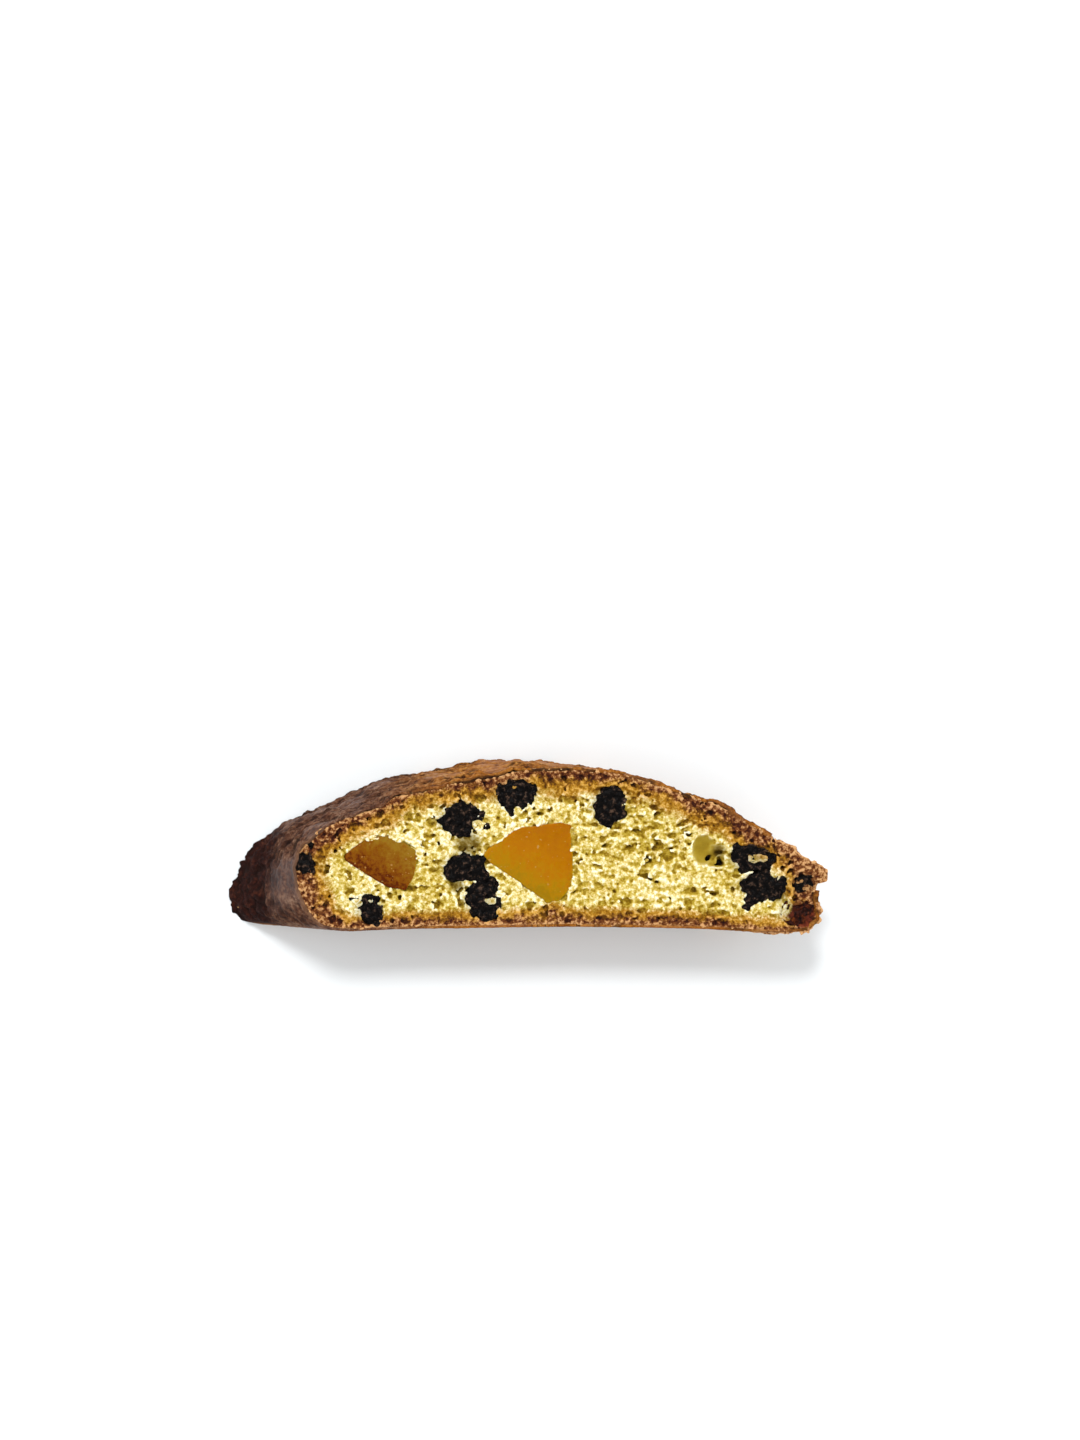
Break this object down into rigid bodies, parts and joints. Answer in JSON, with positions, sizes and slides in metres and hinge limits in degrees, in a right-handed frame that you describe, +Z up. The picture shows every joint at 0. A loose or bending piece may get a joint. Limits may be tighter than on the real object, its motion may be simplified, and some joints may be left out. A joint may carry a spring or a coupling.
{
  "type": "biscotti slice",
  "caption": "Slanted slice of twice-baked fruit loaf with a domed browned crust, open yellow crumb, candied apricot dice and dried dark berries, lying on its cut face.",
  "frame": {"origin": "middle of the bounding box of the slice, on the plane of the cut face that it lies on", "axes": "+X along the slice towards its broken end, +Y from the loaf's flat base to its crown, +Z up through the thickness to the cut face that shows"},
  "size_m": [0.1224, 0.035, 0.018],
  "materials": {
    "baked_crumb": "matt open crumb, pale yellow, browning to a dark glazed crust at the rim",
    "candied_apricot": "smooth translucent candied fruit, amber to orange",
    "dried_berry": "wrinkled dried fruit, near black, with a dull shine"
  },
  "bodies": {
    "root": {"biscotto": "baked_crumb", "apricot_middle": "candied_apricot", "apricot_left": "candied_apricot", "berry_crown": "dried_berry", "berry_upper_left": "dried_berry", "berry_middle_upper": "dried_berry", "berry_middle_lower": "dried_berry", "berry_upper_right": "dried_berry", "berry_right_upper": "dried_berry", "berry_right_lower": "dried_berry", "berry_low_left": "dried_berry", "berry_nose": "dried_berry", "berry_end_lower": "dried_berry", "berry_end_upper": "dried_berry", "berry_in_hole": "dried_berry", "under_apricot_right": "candied_apricot", "under_apricot_left": "candied_apricot", "under_berry_nose": "dried_berry", "under_berry_left": "dried_berry", "under_berry_low": "dried_berry", "under_berry_middle": "dried_berry", "under_berry_base": "dried_berry", "under_berry_right": "dried_berry"}
  },
  "joints": []
}
